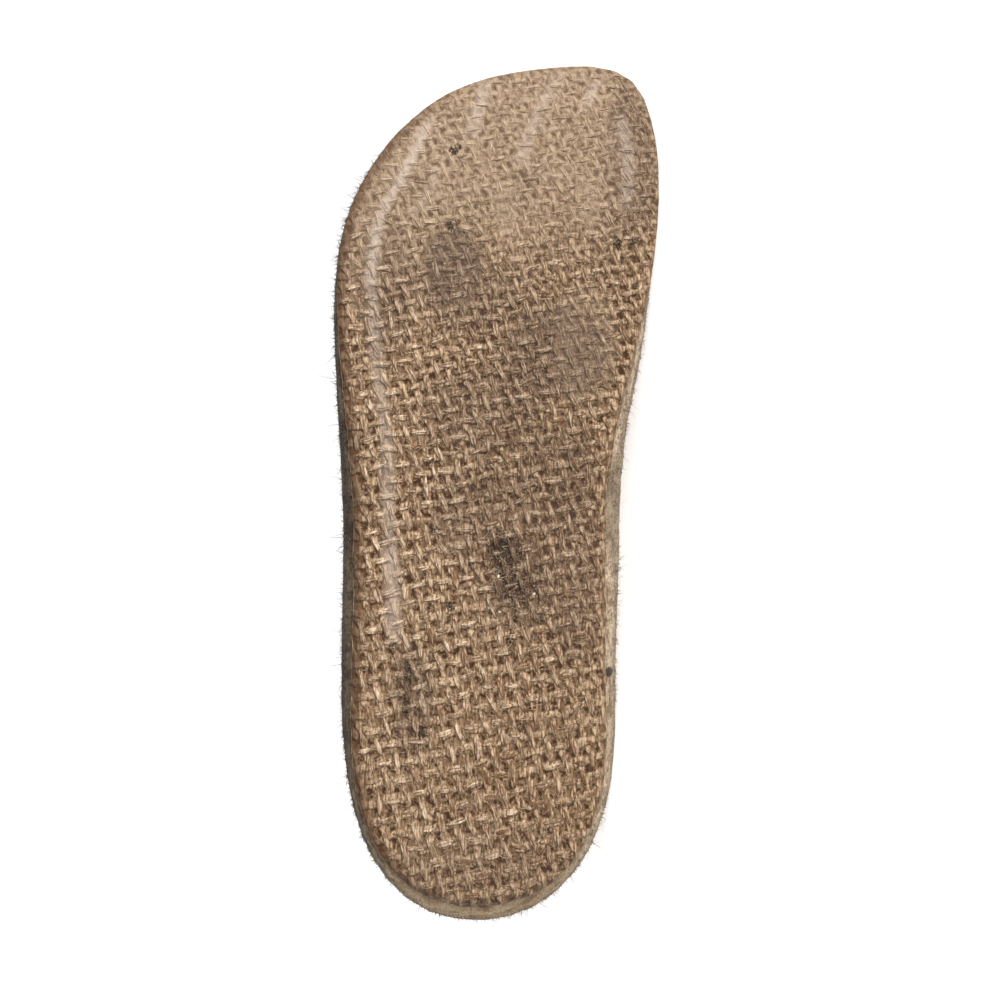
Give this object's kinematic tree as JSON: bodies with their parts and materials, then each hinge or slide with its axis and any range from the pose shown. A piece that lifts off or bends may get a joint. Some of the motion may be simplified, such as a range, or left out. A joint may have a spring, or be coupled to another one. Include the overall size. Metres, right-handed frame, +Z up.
{
  "type": "clog",
  "caption": "Right-foot felt clog lying on its inner side, with a jute and latex outsole, flared felt midsole, one-piece felt upper with a low heel rim, and felt footbed.",
  "frame": {"origin": "middle of the floor under the lying clog, at the centre of its bounding box", "axes": "+X towards the toe, -Y out of the tread, +Z up from the floor towards the outer side of the foot"},
  "size_m": [0.2598, 0.0702, 0.0949],
  "materials": {
    "jute_latex": "jute cloth set in brown latex, worn matt",
    "pressed_felt": "pressed light wool felt, cut edge",
    "upper_felt": "grey-brown wool felt with loose fibres",
    "footbed_felt": "soft wool felt"
  },
  "bodies": {
    "root": {"outsole": "jute_latex", "midsole": "pressed_felt", "upper": "upper_felt", "insole": "footbed_felt"}
  },
  "joints": []
}
